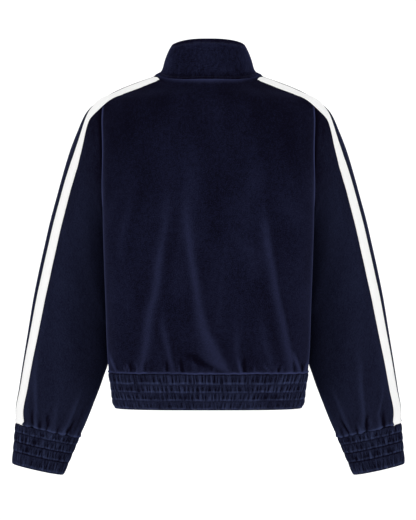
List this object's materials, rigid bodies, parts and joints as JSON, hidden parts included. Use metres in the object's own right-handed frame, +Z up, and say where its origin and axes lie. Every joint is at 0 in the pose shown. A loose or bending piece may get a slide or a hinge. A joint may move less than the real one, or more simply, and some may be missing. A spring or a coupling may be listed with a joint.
{
  "type": "track jacket",
  "caption": "Velour track jacket filled out as if worn, zipped up, with a stand collar, a smocked waistband and cuffs, and a pale stripe along each shoulder and sleeve.",
  "frame": {"origin": "middle of the neck, level with the tops of the shoulder seams, where the jacket hangs from its wearer's shoulders", "axes": "+Z up, +Y out of the back of the jacket, -Y out of its zipped front, +X to the wearer's left"},
  "size_m": [0.7246, 0.2397, 0.786],
  "materials": {
    "navy_velour": "soft pile with a bluish sheen",
    "smocked_velour": "soft pile, gathered between rows of elastic stitching",
    "off_white_tape": "plain smooth tape",
    "zip_tape": "woven tape",
    "zip_teeth": "moulded, satin",
    "zip_metal": "polished nickel"
  },
  "bodies": {
    "jacket": {"back": "navy_velour", "front_left": "navy_velour", "front_right": "navy_velour", "sleeve_left": "navy_velour", "sleeve_right": "navy_velour", "collar": "navy_velour", "waistband": "smocked_velour", "cuff_left": "smocked_velour", "cuff_right": "smocked_velour", "stripe_left": "off_white_tape", "stripe_right": "off_white_tape", "zip_tape_left": "zip_tape", "zip_tape_right": "zip_tape", "zip_chain": "zip_teeth", "zip_box": "zip_metal", "zip_slider": "zip_metal"},
    "zip_pull": {"zip_pull": "zip_metal"}
  },
  "joints": [
    {"name": "pull_hinge", "type": "hinge", "parent": "jacket", "child": "zip_pull", "pos_m": [0, -0.07445, 0.00025], "axis": [-1, 0, 0], "range_deg": [0, 150]}
  ]
}
